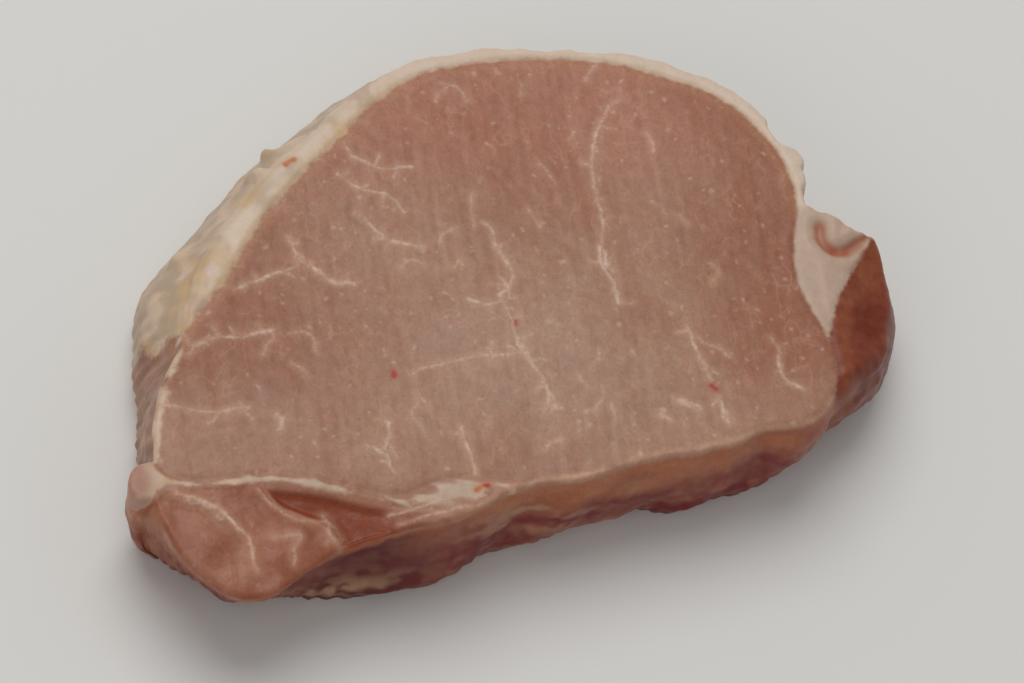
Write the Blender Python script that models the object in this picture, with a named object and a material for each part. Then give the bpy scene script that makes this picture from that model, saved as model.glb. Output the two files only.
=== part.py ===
"""A raw boneless pork loin chop, lying flat with its cut face up.

The chop is one slice, cut across the muscles and the fat round them, so every muscle and every layer
of fat runs through it from the top face to the underside.  Each one is a closed solid of its own,
parted from its neighbours along the natural seams by a hair gap.

+X is the long way of the chop, +Y points to the fat cap and +Z is up, towards the cut face.
The origin is under the middle of the chop, on the surface that it lies on.
Every size below is in millimetres, and MM turns it into metres.
"""
import math

import bpy
import numpy as np
from mathutils import Vector
from mathutils.geometry import delaunay_2d_cdt

# Driving dimensions
MM = 0.001
THICKNESS = 20.0  # of the slice, from the underside to the cut face
SEAM_GAP = 0.3  # between two neighbours along a seam
FLAP_DROP = 2.6  # how much lower the flap's tip lies than the face
FLAP_LENGTH = 17.0  # from the main seam to the flap's tip
SIDE_DROP = 3.2  # how much lower the side muscle's outer edge lies
SIDE_WIDTH = 11.0  # of the side muscle, along X
FOOT_ROUND = 1.1  # how far the wall tucks in where it meets the surface below
UNEVEN = 0.35  # height of the slow waves in the cut face
LUMPS = 0.35  # height of the lumps round the walls
LUMP_LENGTH = 13.0  # from one lump to the next
MIDDLE = (2.94, 7.14)  # middle of the outlines' box, which the origin is moved to

# Fineness of the facets
WALL_STEP = 2.2  # along an outline
FACE_STEP = 3.3  # across the cut face
DEPTHS = (0.22, 0.5, 0.8, 1.0)  # rings of the wall, as shares of the way down

# The rim of the cut face, counterclockwise, in stretches that meet in the corners between two pieces.
# Each row is x, y, then how far the wall reaches out beyond the rim half way down and at its foot.
LEFT_RIM = [(-48.9, 2.0, 4.0, 5.0), (-50.3, -1.5, 2.5, 4.0), (-52.6, -6.5, 1.0, 1.5),
            (-54.2, -12.5, 0.3, -0.5), (-54.8, -17.8, 0.0, -2.0)]
NUB_RIM = [(-54.8, -17.8, 0.0, -2.0), (-57.4, -18.6, -0.5, -3.5), (-58.7, -21.3, -1.0, -4.0),
           (-57.6, -24.0, -0.5, -3.5), (-55.3, -23.9, 0.0, -2.5)]
FLAP_RIM = [(-55.3, -23.9, 0.0, -2.5), (-53.6, -29.5, -2.4, -5.5), (-49.8, -35.6, -3.8, -7.8),
            (-45.0, -38.9, -4.2, -8.4), (-40.0, -39.0, -4.0, -8.0), (-35.0, -35.8, -3.0, -5.0),
            (-29.6, -33.0, -0.8, -1.0)]
STRIP_RIM = [(-29.6, -33.0, -0.8, -1.0), (-24.5, -31.6, 0.0, 0.0), (-18.5, -30.4, 0.8, 1.0),
             (-12.5, -29.2, 1.0, 0.8), (-7.5, -27.0, 1.0, 0.5)]
SEAM_RIM = [(-7.5, -27.0, 1.0, 0.5), (-3.5, -25.0, 1.0, 0.5), (0.5, -23.6, 1.0, 0.5)]
LOWER_RIM = [(0.5, -23.6, 1.0, 0.5), (7.0, -23.2, 1.0, -0.5), (13.0, -21.5, 1.0, -1.5),
             (20.0, -19.9, 1.0, -1.0), (25.5, -19.4, 1.0, 0.0), (31.0, -18.0, 1.0, 0.0),
             (36.0, -16.3, 1.0, 0.5), (41.0, -15.9, 0.5, -2.5), (45.0, -14.2, 0.0, -4.5),
             (47.7, -10.8, -0.5, -4.5)]
SIDE_RIM = [(47.7, -10.8, -0.5, -4.5), (52.0, -7.6, 0.0, -4.0), (56.5, -4.0, 0.5, -3.0),
            (59.5, 1.5, 1.5, 0.0), (60.8, 8.0, 2.5, 3.0), (60.8, 14.0, 2.5, 3.5), (59.2, 18.0, 1.5, 2.5)]
WEDGE_RIM = [(59.2, 18.0, 1.5, 2.5), (55.5, 18.8, 1.0, 1.5), (52.6, 21.2, 1.0, 1.0), (50.0, 21.9, 1.0, 1.0),
             (48.9, 22.9, 1.0, 1.0)]
FAT_RIM = [(48.9, 22.9, 1.0, 1.0), (49.5, 27.0, 1.5, 1.5), (49.5, 30.8, 1.5, 1.5), (46.9, 35.0, 1.5, 1.5),
           (44.2, 39.8, 1.5, 1.5), (40.0, 44.3, 1.5, 1.5), (35.0, 47.4, 1.5, 1.5), (28.0, 50.0, 1.5, 1.5),
           (18.0, 51.4, 1.5, 1.5), (6.0, 51.6, 1.5, 1.5), (-4.0, 50.9, 2.0, 2.0), (-10.0, 49.3, 3.0, 3.5),
           (-16.0, 45.6, 4.0, 5.0), (-23.0, 39.8, 4.2, 5.5), (-31.0, 32.4, 5.0, 6.0), (-38.0, 24.4, 4.7, 6.0),
           (-43.0, 17.6, 5.5, 6.5), (-46.4, 10.5, 6.0, 6.5), (-48.9, 2.0, 4.0, 5.0)]

# The seams across the cut face, from corner to corner
FAT_LINE = [(-48.9, 2.0), (-45.2, 6.8), (-42.0, 10.8), (-36.0, 20.0), (-30.0, 27.2), (-23.0, 34.2),
            (-15.0, 42.3), (-9.0, 46.6), (0.0, 49.1), (12.0, 49.8), (22.0, 49.0), (30.0, 46.6),
            (37.5, 43.0), (43.0, 37.6), (46.4, 31.0), (47.6, 25.0), (47.6, 21.9)]
CAP_END = [(47.6, 21.9), (48.9, 22.9)]
WEDGE_LEFT = [(47.6, 21.9), (45.9, 15.5), (45.7, 9.0), (47.0, 4.0), (48.5, 0.0)]
WEDGE_RIGHT = [(48.5, 0.0), (51.0, 6.0), (55.0, 12.2), (59.2, 18.0)]
EYE_RIGHT = [(48.5, 0.0), (48.9, -6.0), (47.7, -10.8)]
SEAM_UPPER = [(-54.8, -17.8), (-53.0, -20.2), (-49.0, -21.3), (-44.0, -21.0), (-39.0, -20.7),
              (-31.0, -22.1), (-25.0, -24.1), (-19.5, -25.1), (-15.0, -23.3), (-10.0, -22.3),
              (-4.5, -22.4), (0.5, -23.6)]
SEAM_LOWER_LEFT = [(-55.3, -23.9), (-52.5, -22.7), (-48.0, -22.8), (-44.0, -22.5), (-40.0, -22.3)]
SEAM_LOWER_RIGHT = [(-40.0, -22.3), (-31.0, -23.9), (-25.0, -25.7), (-20.5, -26.8), (-15.5, -27.2),
                    (-11.5, -27.0), (-7.5, -27.0)]
STRIP_LINE = [(-40.0, -22.3), (-38.0, -25.8), (-34.0, -28.1), (-30.8, -30.2), (-29.6, -33.0)]

# Each piece: its stretches in order, the rounding of its upper edge, its colour and its roughness.
# A minus in front of a name takes that stretch backwards.
PIECES = {
    "loin_eye": (["LEFT_RIM", "SEAM_UPPER", "LOWER_RIM", "-EYE_RIGHT", "-WEDGE_LEFT", "-FAT_LINE"],
                 0.8, (0.62, 0.48, 0.41), 0.42),
    "fat_cap": (["FAT_LINE", "CAP_END", "FAT_RIM"], 0.8, (0.77, 0.71, 0.63), 0.38),
    "side_fat": (["WEDGE_LEFT", "WEDGE_RIGHT", "WEDGE_RIM", "-CAP_END"], 0.8, (0.74, 0.66, 0.58), 0.40),
    "side_muscle": (["EYE_RIGHT", "SIDE_RIM", "-WEDGE_RIGHT"], 2.2, (0.41, 0.20, 0.15), 0.38),
    "seam_fat": (["NUB_RIM", "SEAM_LOWER_LEFT", "SEAM_LOWER_RIGHT", "SEAM_RIM", "-SEAM_UPPER"],
                 0.35, (0.69, 0.60, 0.53), 0.40),
    "flap_strip": (["STRIP_LINE", "STRIP_RIM", "-SEAM_LOWER_RIGHT"], 0.7, (0.46, 0.25, 0.20), 0.38),
    "flap_muscle": (["FLAP_RIM", "-STRIP_LINE", "-SEAM_LOWER_LEFT"], 1.0, (0.54, 0.34, 0.27), 0.40),
}
STRETCHES = {
    "LEFT_RIM": LEFT_RIM, "NUB_RIM": NUB_RIM, "FLAP_RIM": FLAP_RIM, "STRIP_RIM": STRIP_RIM,
    "SEAM_RIM": SEAM_RIM, "LOWER_RIM": LOWER_RIM, "SIDE_RIM": SIDE_RIM, "WEDGE_RIM": WEDGE_RIM,
    "FAT_RIM": FAT_RIM, "FAT_LINE": FAT_LINE, "CAP_END": CAP_END, "WEDGE_LEFT": WEDGE_LEFT,
    "WEDGE_RIGHT": WEDGE_RIGHT, "EYE_RIGHT": EYE_RIGHT, "SEAM_UPPER": SEAM_UPPER,
    "SEAM_LOWER_LEFT": SEAM_LOWER_LEFT, "SEAM_LOWER_RIGHT": SEAM_LOWER_RIGHT, "STRIP_LINE": STRIP_LINE,
}

# How the reach of the walls spreads along the rim and fades towards the middle of the chop
SPREAD = 5
FADE = 0.0008
NEAR = 0.05
LONGEST_MITRE = 8.0


def clear_scene():
    """Start from an empty scene."""
    for thing in list(bpy.data.objects):
        bpy.data.objects.remove(thing, do_unlink=True)


def smooth_curve(points, step):
    """Points about one step apart on a smooth curve through the given ones."""
    knots = np.array(points, float)
    lengths = np.linalg.norm(np.diff(knots[:, :2], axis=0), axis=1)
    along = np.concatenate([[0.0], np.cumsum(lengths)])
    slopes = np.gradient(knots, along, axis=0)
    samples = []
    for start in range(len(knots) - 1):
        length = lengths[start]
        count = max(1, round(length / step))
        for index in range(count):
            t = index / count
            samples.append(
                (2 * t**3 - 3 * t**2 + 1) * knots[start]
                + (t**3 - 2 * t**2 + t) * length * slopes[start]
                + (3 * t**2 - 2 * t**3) * knots[start + 1]
                + (t**3 - t**2) * length * slopes[start + 1]
            )
    samples.append(knots[-1])
    return np.array(samples)


def outline(names):
    """The closed outline of one piece, as points in the plane, counterclockwise."""
    stretches = []
    for name in names:
        curve = smooth_curve(STRETCHES[name.lstrip("-")], WALL_STEP)[:, :2]
        if name.startswith("-"):
            curve = curve[::-1]
        stretches.append(curve[:-1])
    return np.vstack(stretches)


def inward_normals(loop):
    """For each point of a counterclockwise loop, the way in, as long as the corner's mitre."""
    ahead = np.roll(loop, -1, axis=0) - loop
    ahead /= np.linalg.norm(ahead, axis=1)[:, None]
    behind = np.roll(ahead, 1, axis=0)
    left_ahead = np.stack([-ahead[:, 1], ahead[:, 0]], axis=1)
    left_behind = np.stack([-behind[:, 1], behind[:, 0]], axis=1)
    spread = 1.0 + (left_ahead * left_behind).sum(axis=1)
    mitre = (left_ahead + left_behind) / np.maximum(spread, 0.02)[:, None]
    length = np.linalg.norm(mitre, axis=1)
    return mitre * np.minimum(1.0, LONGEST_MITRE / length)[:, None]


def distance_to_loop(points, loop):
    """How far each point is from the nearest side of the loop."""
    side = np.roll(loop, -1, axis=0) - loop
    offset = points[:, None, :] - loop[None, :, :]
    share = (offset * side).sum(axis=2) / (side * side).sum(axis=1)
    gap = offset - np.clip(share, 0.0, 1.0)[:, :, None] * side
    return np.linalg.norm(gap, axis=2).min(axis=1)


def inside_loop(points, loop):
    """Which points lie inside the loop."""
    x, y = points[:, 0][:, None], points[:, 1][:, None]
    x0, y0 = loop[:, 0], loop[:, 1]
    x1, y1 = np.roll(x0, -1), np.roll(y0, -1)
    spans = (y0 > y) != (y1 > y)
    rise = np.where(y1 == y0, 1.0, y1 - y0)
    crossing = x0 + (y - y0) / rise * (x1 - x0)
    return (spans & (x < crossing)).sum(axis=1) % 2 == 1


def smoothstep(value):
    share = np.clip(value, 0.0, 1.0)
    return share * share * (3.0 - 2.0 * share)


def face_height(points):
    """Height of the cut face: nearly level, with slow waves, a drooping flap and a falling side muscle."""
    x, y = points[:, 0], points[:, 1]
    waves = UNEVEN * np.sin(x / 11.0 + 0.6) * np.cos(y / 9.0 - 0.4)
    waves += 0.6 * UNEVEN * np.sin((x + y) / 17.0 + 1.3)
    below_seam = np.clip((-21.5 - y) / FLAP_LENGTH, 0.0, 1.2) ** 1.3
    flap = FLAP_DROP * below_seam * smoothstep((-8.0 - x) / 22.0)
    side = SIDE_DROP * smoothstep((x - 49.5) / SIDE_WIDTH) * smoothstep((20.0 - y) / 9.0)
    return THICKNESS + waves - flap - side


def rim_reach():
    """Points of the whole rim with their way out, and the walls' reach half way down and at the foot."""
    rims = (LEFT_RIM, NUB_RIM, FLAP_RIM, STRIP_RIM, SEAM_RIM, LOWER_RIM, SIDE_RIM, WEDGE_RIM, FAT_RIM)
    rows = np.vstack([smooth_curve(rim, WALL_STEP)[:-1] for rim in rims])
    out = -inward_normals(rows[:, :2])
    out = sum(np.roll(out, turn, axis=0) for turn in range(-SPREAD, SPREAD + 1))
    out /= np.linalg.norm(out, axis=1)[:, None]
    return rows[:, :2], out, rows[:, 2], rows[:, 3]


RIM, RIM_OUT, RIM_SWELL, RIM_FOOT = rim_reach()
RIM_ALONG = np.concatenate([[0.0], np.cumsum(np.linalg.norm(np.diff(RIM, axis=0), axis=1))])


def at_depth(points, depth):
    """Where points of the cut face lie at a share of the way down, as the walls swell and lean."""
    reach = 4.0 * RIM_SWELL * depth * (1.0 - depth) + RIM_FOOT * depth * (2.0 * depth - 1.0)
    reach += LUMPS * depth * np.sin(2.0 * math.pi * RIM_ALONG / LUMP_LENGTH + 4.0 * depth)
    reach -= FOOT_ROUND * smoothstep((depth - 0.8) / 0.2)
    square = ((points[:, None, :] - RIM[None, :, :]) ** 2).sum(axis=2)
    weight = 1.0 / (square + NEAR) ** 2
    moved = (weight[:, :, None] * (RIM_OUT * reach[:, None])[None, :, :]).sum(axis=1)
    return points + moved / (weight.sum(axis=1) + FADE)[:, None]


def fill(loop, extra):
    """Triangles inside a loop, over its points and some extra ones inside it."""
    points = np.vstack([loop, extra]) if len(extra) else loop
    flat = [Vector(point) for point in points]
    result = delaunay_2d_cdt(flat, [], [list(range(len(loop)))], 1, 1e-7, True)
    positions, faces, origins, within = result[0], result[2], result[3], result[5]
    if len(positions) != len(points):
        raise ValueError("an outline crosses itself")
    return [[origins[corner][0] for corner in face] for face, inside in zip(faces, within) if inside]


def face_points(loop, rounding):
    """Points inside the cut face of one piece: a row along the rounded edge, then an even grid."""
    row = loop + inward_normals(loop) * rounding
    low, high = loop.min(axis=0), loop.max(axis=0)
    line_step = FACE_STEP * math.sqrt(3.0) / 2.0
    grid = []
    for line in range(int((high[1] - low[1]) / line_step) + 2):
        shift = FACE_STEP / 2.0 if line % 2 else 0.0
        for place in range(int((high[0] - low[0]) / FACE_STEP) + 2):
            grid.append((low[0] + shift + place * FACE_STEP, low[1] + line * line_step))
    grid = np.array(grid)
    row = row[inside_loop(row, loop)]
    row = row[distance_to_loop(row, loop) > 0.85 * rounding]
    grid = grid[inside_loop(grid, loop)]
    grid = grid[distance_to_loop(grid, loop) > rounding + 0.45 * FACE_STEP]
    return np.vstack([row, grid])


def solid_mesh(name, loop, rounding):
    """One piece: its cut face, its walls in rings, and its flat underside."""
    inner = face_points(loop, rounding)
    top = np.vstack([loop, inner])
    edge = np.clip(1.0 - distance_to_loop(top, loop) / rounding, 0.0, 1.0)
    top_height = face_height(top) - rounding * edge**2
    rings = [np.column_stack([top, top_height])]
    for depth in DEPTHS:
        rings.append(np.column_stack([at_depth(loop, depth), top_height[: len(loop)] * (1.0 - depth)]))
    faces = fill(loop, inner)
    count = len(loop)
    upper = 0
    lower = len(top)
    for _ in DEPTHS:
        for index in range(count):
            following = (index + 1) % count
            faces.append([upper + index, lower + index, lower + following])
            faces.append([upper + index, lower + following, upper + following])
        upper = lower
        lower += count
    for face in fill(rings[-1][:, :2], []):
        faces.append([upper + corner for corner in reversed(face)])
    points = np.vstack(rings)
    points[:, 0] -= MIDDLE[0]
    points[:, 1] -= MIDDLE[1]
    mesh = bpy.data.meshes.new(name)
    mesh.from_pydata((points * MM).tolist(), [], faces)
    mesh.validate()
    mesh.shade_smooth()
    mesh.set_sharp_from_angle(angle=math.radians(40.0))
    return mesh


def linear(share):
    """A screen colour's share as light."""
    if share <= 0.04045:
        return share / 12.92
    return ((share + 0.055) / 1.055) ** 2.4


def make_material(name, colour, roughness):
    """A plain moist surface."""
    material = bpy.data.materials.new(name)
    material.use_nodes = True
    shader = material.node_tree.nodes["Principled BSDF"]
    shader.inputs["Base Color"].default_value = [linear(share) for share in colour] + [1.0]
    shader.inputs["Roughness"].default_value = roughness
    shader.inputs["Metallic"].default_value = 0.0
    return material


def build():
    clear_scene()
    holder = bpy.data.objects.new("pork_chop", None)
    bpy.context.scene.collection.objects.link(holder)
    for name, (names, rounding, colour, roughness) in PIECES.items():
        loop = outline(names)
        loop = loop + inward_normals(loop) * SEAM_GAP / 2.0
        mesh = solid_mesh(name, loop, rounding)
        mesh.materials.append(make_material(name, colour, roughness))
        piece = bpy.data.objects.new(name, mesh)
        piece.parent = holder
        bpy.context.scene.collection.objects.link(piece)


build()
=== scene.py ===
"""The looks of a raw boneless pork loin chop that lies flat with its cut face up.

The whole chop is one closed mesh over the solids' own outlines, so that light can spread under its
surface from lean to fat without a break.  Each of its points holds the broad colour that lean and fat
have there, and numbers that say how deep it lies in the fat, in a vein and in a stain, how clear the
grain is, and whether it is on a wall.  Some of that broad colour is painted shade and light: darker
low on the walls, in a hollow and on the side muscle, lighter in a crease and on the side muscle's top.
One material reads them and adds the fine detail.

Lengths are in millimetres up to the last step, and MM turns them into metres.
"""
import math

import bpy
import numpy as np
from mathutils import Matrix, Vector
from mathutils.geometry import delaunay_2d_cdt


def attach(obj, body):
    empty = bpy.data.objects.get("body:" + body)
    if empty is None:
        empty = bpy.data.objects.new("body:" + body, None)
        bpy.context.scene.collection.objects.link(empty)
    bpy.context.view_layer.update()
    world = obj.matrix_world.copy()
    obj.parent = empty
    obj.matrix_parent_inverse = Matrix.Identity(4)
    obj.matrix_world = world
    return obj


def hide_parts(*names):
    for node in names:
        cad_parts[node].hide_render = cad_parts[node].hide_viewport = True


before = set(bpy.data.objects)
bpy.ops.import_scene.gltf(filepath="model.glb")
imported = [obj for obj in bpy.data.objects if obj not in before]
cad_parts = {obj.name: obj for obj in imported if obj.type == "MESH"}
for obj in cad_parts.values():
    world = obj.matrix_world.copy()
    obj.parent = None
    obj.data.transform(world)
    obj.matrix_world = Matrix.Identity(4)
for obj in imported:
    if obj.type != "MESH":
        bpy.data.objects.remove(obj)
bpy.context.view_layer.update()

# Sizes of the slice, as in the solids
MM = 0.001
THICKNESS = 20.0
FLAP_DROP = 2.6
FLAP_LENGTH = 17.0
SIDE_DROP = 3.2
SIDE_WIDTH = 11.0
FOOT_ROUND = 1.1
UNEVEN = 0.35
LUMPS = 0.35
LUMP_LENGTH = 13.0
MIDDLE = (2.94, 7.14)
WALL_STEP = 2.2
SPREAD = 5
FADE = 0.0008
NEAR = 0.05

# A turn of the noise's grid, so that no pattern runs along the axes, and a stretch along torn fibres
TURN = np.array([[0.8, -0.36, 0.48], [0.6, 0.48, -0.64], [0.0, 0.8, 0.6]])
ALONG_TEAR = np.array([[0.35, 0.9, 0.0], [-0.1, 2.0, 0.0], [0.0, 0.0, 1.0]])

# Fineness of the mesh
FINE = 1.0
FACE_STEP = 0.42 * FINE
RIM_STEP = 0.5 * FINE
WALL_RINGS = 38
UNDER_STEP = 1.6
EDGE_ROWS = (0.04, 0.14, 0.3, 0.52, 0.8)
VEIN_STEP = 0.4
VEIN_SIDE = 0.24
LINE_STEP = 1.0
FOLD_STEP = 0.5
BLOCK = 3000
SAME_POINT = 1e-7

# The cut edge: its rounding, the share of the wall that its rags fade over, and how far the regions
# sway down the wall.  Places near the rim look up their region a little inside it.
EDGE_ROUND = 0.75
RAGGED_DEPTH = 0.3
SWAY = 2.6
RIM_REACH = 3.0
RIM_PULL = 0.7

# How far down from the face veins and stains reach, what counts as off them, and what the underside
# has for its distance from the edge
FACE_DEPTH = 1.6
FAR = -3.0
UNDER_EDGE = 9.0

# The rim of the cut face, counterclockwise.  Each row is x, y, then how far the wall reaches out
# beyond the rim half way down and at its foot.
LEFT_RIM = [(-48.9, 2.0, 4.0, 5.0), (-50.3, -1.5, 2.5, 4.0), (-52.6, -6.5, 1.0, 1.5),
            (-54.2, -12.5, 0.3, -0.5), (-54.8, -17.8, 0.0, -2.0)]
NUB_RIM = [(-54.8, -17.8, 0.0, -2.0), (-57.4, -18.6, -0.5, -3.5), (-58.7, -21.3, -1.0, -4.0),
           (-57.6, -24.0, -0.5, -3.5), (-55.3, -23.9, 0.0, -2.5)]
FLAP_RIM = [(-55.3, -23.9, 0.0, -2.5), (-53.6, -29.5, -2.4, -5.5), (-49.8, -35.6, -3.8, -7.8),
            (-45.0, -38.9, -4.2, -8.4), (-40.0, -39.0, -4.0, -8.0), (-35.0, -35.8, -3.0, -5.0),
            (-29.6, -33.0, -0.8, -1.0)]
STRIP_RIM = [(-29.6, -33.0, -0.8, -1.0), (-24.5, -31.6, 0.0, 0.0), (-18.5, -30.4, 0.8, 1.0),
             (-12.5, -29.2, 1.0, 0.8), (-7.5, -27.0, 1.0, 0.5)]
SEAM_RIM = [(-7.5, -27.0, 1.0, 0.5), (-3.5, -25.0, 1.0, 0.5), (0.5, -23.6, 1.0, 0.5)]
LOWER_RIM = [(0.5, -23.6, 1.0, 0.5), (7.0, -23.2, 1.0, -0.5), (13.0, -21.5, 1.0, -1.5),
             (20.0, -19.9, 1.0, -1.0), (25.5, -19.4, 1.0, 0.0), (31.0, -18.0, 1.0, 0.0),
             (36.0, -16.3, 1.0, 0.5), (41.0, -15.9, 0.5, -2.5), (45.0, -14.2, 0.0, -4.5),
             (47.7, -10.8, -0.5, -4.5)]
SIDE_RIM = [(47.7, -10.8, -0.5, -4.5), (52.0, -7.6, 0.0, -4.0), (56.5, -4.0, 0.5, -3.0),
            (59.5, 1.5, 1.5, 0.0), (60.8, 8.0, 2.5, 3.0), (60.8, 14.0, 2.5, 3.5),
            (59.2, 18.0, 1.5, 2.5)]
WEDGE_RIM = [(59.2, 18.0, 1.5, 2.5), (55.5, 18.8, 1.0, 1.5), (52.6, 21.2, 1.0, 1.0),
             (50.0, 21.9, 1.0, 1.0), (48.9, 22.9, 1.0, 1.0)]
FAT_RIM = [(48.9, 22.9, 1.0, 1.0), (49.5, 27.0, 1.5, 1.5), (49.5, 30.8, 1.5, 1.5),
           (46.9, 35.0, 1.5, 1.5), (44.2, 39.8, 1.5, 1.5), (40.0, 44.3, 1.5, 1.5),
           (35.0, 47.4, 1.5, 1.5), (28.0, 50.0, 1.5, 1.5), (18.0, 51.4, 1.5, 1.5),
           (6.0, 51.6, 1.5, 1.5), (-4.0, 50.9, 2.0, 2.0), (-10.0, 49.3, 3.0, 3.5),
           (-16.0, 45.6, 4.0, 5.0), (-23.0, 39.8, 4.2, 5.5), (-31.0, 32.4, 5.0, 6.0),
           (-38.0, 24.4, 4.7, 6.0), (-43.0, 17.6, 5.5, 6.5), (-46.4, 10.5, 6.0, 6.5),
           (-48.9, 2.0, 4.0, 5.0)]
RIMS = [LEFT_RIM, NUB_RIM, FLAP_RIM, STRIP_RIM, SEAM_RIM, LOWER_RIM, SIDE_RIM, WEDGE_RIM, FAT_RIM]

# The seams across the cut face
FAT_LINE = [(-48.9, 2.0), (-45.2, 6.8), (-42.0, 10.8), (-36.0, 20.0), (-30.0, 27.2), (-23.0, 34.2),
            (-15.0, 42.3), (-9.0, 46.6), (0.0, 49.1), (12.0, 49.8), (22.0, 49.0), (30.0, 46.6),
            (37.5, 43.0), (43.0, 37.6), (46.4, 31.0), (47.6, 25.0), (47.6, 21.9)]
WEDGE_LEFT = [(47.6, 21.9), (45.9, 15.5), (45.7, 9.0), (47.0, 4.0), (48.5, 0.0)]
WEDGE_RIGHT = [(48.5, 0.0), (51.0, 6.0), (55.0, 12.2), (59.2, 18.0)]
EYE_RIGHT = [(48.5, 0.0), (48.9, -6.0), (47.7, -10.8)]
SEAM_UPPER = [(-54.8, -17.8), (-53.0, -20.2), (-49.0, -21.3), (-44.0, -21.0), (-39.0, -20.7),
              (-31.0, -22.1), (-25.0, -24.1), (-19.5, -25.1), (-15.0, -23.3), (-10.0, -22.3),
              (-4.5, -22.4), (0.5, -23.6)]
SEAM_LOWER = [(-55.3, -23.9), (-52.5, -22.7), (-48.0, -22.8), (-44.0, -22.5), (-40.0, -22.3),
              (-31.0, -23.9), (-25.0, -25.7), (-20.5, -26.8), (-15.5, -27.2), (-11.5, -27.0),
              (-7.5, -27.0)]
STRIP_LINE = [(-40.0, -22.3), (-38.0, -25.8), (-34.0, -28.1), (-30.8, -30.2), (-29.6, -33.0)]
CAP_END = [(47.6, 21.9), (48.9, 22.9)]
EYE = [LEFT_RIM, SEAM_UPPER, LOWER_RIM, EYE_RIGHT[::-1], WEDGE_LEFT[::-1], FAT_LINE[::-1]]

# White veins on the cut face: half width, then the points they run through.  The last ones are the
# folds of the flap.
VEINS = [
    (0.20, [(21.0, 41.0), (18.5, 36.5), (17.0, 32.0), (16.5, 26.0), (16.8, 20.0), (15.5, 14.0),
            (16.8, 10.0), (17.0, 6.0)]),
    (0.30, [(16.2, 15.0), (16.0, 13.2), (16.9, 11.6)]),
    (0.10, [(-0.5, 19.0), (0.0, 16.0), (1.6, 12.0), (-0.5, 7.0)]),
    (0.24, [(-0.5, 7.0), (0.5, 3.5), (1.0, 0.0), (1.5, -2.0), (4.0, -7.0), (4.5, -12.0)]),
    (0.42, [(0.9, 9.4), (-0.4, 7.6)]),
    (0.36, [(3.9, -7.4), (4.5, -9.4), (5.0, -11.4)]),
    (0.36, [(4.5, -9.4), (3.6, -11.6)]),
    (0.12, [(-14.0, -4.0), (-6.0, -2.4), (0.5, -2.2)]),
    (0.12, [(-0.5, 7.0), (-3.4, 6.4), (-5.6, 7.4)]),
    (0.20, [(-29.0, 14.5), (-34.0, 12.5), (-40.0, 10.0)]),
    (0.40, [(-30.2, 14.6), (-28.2, 14.2)]),
    (0.16, [(-29.0, 14.5), (-31.5, 18.5)]),
    (0.22, [(-29.0, 14.5), (-25.0, 11.0), (-22.0, 10.5)]),
    (0.17, [(-19.0, 21.0), (-17.0, 18.5), (-14.0, 17.0), (-11.0, 16.5)]),
    (0.18, [(-47.0, 0.6), (-45.0, 1.5), (-40.0, 2.0), (-35.0, 3.0)]),
    (0.12, [(-20.0, 32.5), (-15.0, 30.0), (-11.0, 30.5)]),
    (0.12, [(-22.5, 29.0), (-18.5, 26.2), (-15.5, 25.6), (-13.0, 22.5)]),
    (0.18, [(-20.0, -13.0), (-20.5, -16.0), (-21.0, -18.5), (-20.2, -21.4)]),
    (0.18, [(-23.5, -16.5), (-21.0, -18.5)]),
    (0.34, [(-35.5, -12.0), (-36.5, -13.5)]),
    (0.15, [(-9.5, -14.0), (-8.9, -18.0), (-8.5, -22.0)]),
    (0.26, [(27.0, 2.0), (28.0, -3.0), (29.0, -7.4)]),
    (0.30, [(30.0, -10.4), (30.2, -13.0), (30.8, -14.8)]),
    (0.19, [(40.5, -2.0), (40.2, -7.0), (43.0, -9.5)]),
    (0.34, [(23.7, -10.9), (26.3, -12.1)]),
    (0.26, [(21.2, -12.4), (21.0, -13.4)]),
    (0.14, [(-52.0, -9.0), (-46.0, -10.4), (-40.0, -9.6)]),
    (0.50, [(-51.0, -24.3), (-49.5, -24.8), (-47.2, -25.9), (-45.9, -26.9)]),
    (0.10, [(-30.4, -28.8), (-30.6, -30.6), (-29.0, -31.8)]),
    (0.24, [(-52.1, -23.7), (-49.7, -24.4), (-45.6, -26.6), (-44.1, -28.6), (-42.2, -30.7),
            (-42.0, -33.9), (-41.6, -35.5)]),
    (0.10, [(-40.2, -23.2), (-38.1, -26.3), (-34.7, -28.2), (-30.4, -28.8), (-28.9, -30.8)]),
    (0.00, [(-38.9, -30.6), (-34.9, -30.8), (-36.0, -32.7), (-36.1, -34.8)]),
]

# How far veins wobble, how far apart their twigs are, and how many fine threads the loin muscle has.
# The streaks of the strip and the seam are half width and ends.
VEIN_WOBBLE = 0.3
TWIG_GAP = 3.8
THREADS = 26
THREAD_SEED = 11
STREAKS = [(0.12, (-22.0, -28.2), (-12.0, -25.6)), (0.10, (-20.5, -29.4), (-10.0, -26.9)),
           (0.14, (-18.0, -26.4), (-15.0, -25.4)), (0.12, (-9.0, -23.4), (-3.0, -24.2))]

# Small stains, half width and ends: blood in the lean, an orange-brown hole in the fat
STAINS = [(0.26, (-18.2, -4.5), (-18.3, -5.2)), (0.22, (1.0, 3.3), (0.9, 2.7)),
          (0.30, (29.0, -8.3), (29.5, -9.0)), (0.36, (-30.1, 31.1), (-28.9, 31.9)),
          (0.40, (-8.8, -24.5), (-7.0, -23.9))]

# The curled edge in the wedge of fat, and places that colours and relief refer to
CURL = [(50.4, 18.9), (50.5, 16.4), (52.2, 14.9), (54.4, 15.2), (56.6, 16.4), (59.1, 17.5)]
TAG_AT = (-33.6, 29.8)
NUB_AT = (-57.5, -21.0)
# Where the crease between the nub's and the flap's walls is painted lighter against its shade
LIGHTENED_CREASE_AT = (-55.0, -22.0)
PALE_AT = (6.0, 1.0)
HAZE_AT = (-30.5, -31.0)
PATCH_X = -13.0
TORN_X = -17.0
RECESS_X = -25.0
RECESS_Y = -26.0
LOW_SKIN_X = -27.0

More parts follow.
